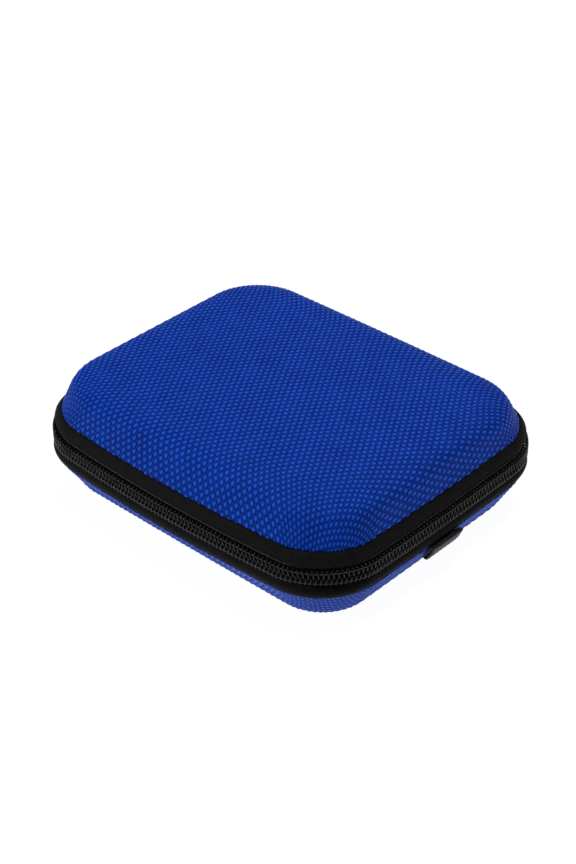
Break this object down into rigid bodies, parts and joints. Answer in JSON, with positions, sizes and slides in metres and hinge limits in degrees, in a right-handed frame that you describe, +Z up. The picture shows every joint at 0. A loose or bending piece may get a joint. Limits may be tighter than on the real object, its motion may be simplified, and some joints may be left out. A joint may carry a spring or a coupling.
{
  "type": "zipped earphone case",
  "caption": "Zipped hard case for earphones: moulded nylon-covered shells, coil zip with slider, fabric hinge, net pocket and webbing loop.",
  "frame": {"origin": "centre of the flat bottom, on the surface that the case rests on", "axes": "+X along the long side towards the webbing loop, +Y towards the hinge at the back, +Z up"},
  "size_m": [0.1161, 0.0968, 0.0333],
  "materials": {
    "blue_nylon": "coarse ballistic nylon weave, soft sheen",
    "eva_foam": "matt moulded EVA foam",
    "lining_fabric": "brushed knit lining",
    "zip_tape": "smooth woven zip tape",
    "zip_coil": "satin nylon coil",
    "binding_tape": "ribbed binding tape",
    "hinge_fabric": "plain woven nylon",
    "webbing": "flat woven webbing",
    "pocket_net": "knitted net",
    "elastic": "ribbed woven elastic",
    "slider_metal": "black painted zinc, satin",
    "pull_rubber": "moulded soft plastic"
  },
  "bodies": {
    "base": {"bottom_shell_cover": "blue_nylon", "bottom_shell_core": "eva_foam", "bottom_lining": "lining_fabric", "lower_zip_tape": "zip_tape", "lower_zip_coil": "zip_coil", "lower_binding": "binding_tape", "lower_hinge_panel": "hinge_fabric", "webbing_loop": "webbing"},
    "lid": {"top_shell_cover": "blue_nylon", "top_shell_core": "eva_foam", "top_lining": "lining_fabric", "upper_zip_tape": "zip_tape", "upper_zip_coil": "zip_coil", "upper_binding": "binding_tape", "upper_hinge_panel": "hinge_fabric", "pocket_net": "pocket_net", "pocket_elastic": "elastic"},
    "slider": {"slider_body": "slider_metal", "slider_bail": "slider_metal"},
    "pull": {"pull_link": "slider_metal", "pull_tab": "pull_rubber"}
  },
  "joints": [
    {"name": "lid_hinge", "type": "hinge", "parent": "base", "child": "lid", "pos_m": [0, 0.0484, 0.017], "axis": [-1, 0, 0], "range_deg": [0, 180], "deforming": ["upper_zip_coil"]},
    {"name": "slider_travel", "type": "slide", "parent": "base", "child": "slider", "axis": [0, -1, 0], "range_m": [0, 0.04], "deforming": ["lower_zip_coil"]},
    {"name": "pull_swing", "type": "hinge", "parent": "slider", "child": "pull", "pos_m": [-0.05805, 0.02, 0.017], "axis": [0, 0, -1], "range_deg": [0, 165]}
  ]
}
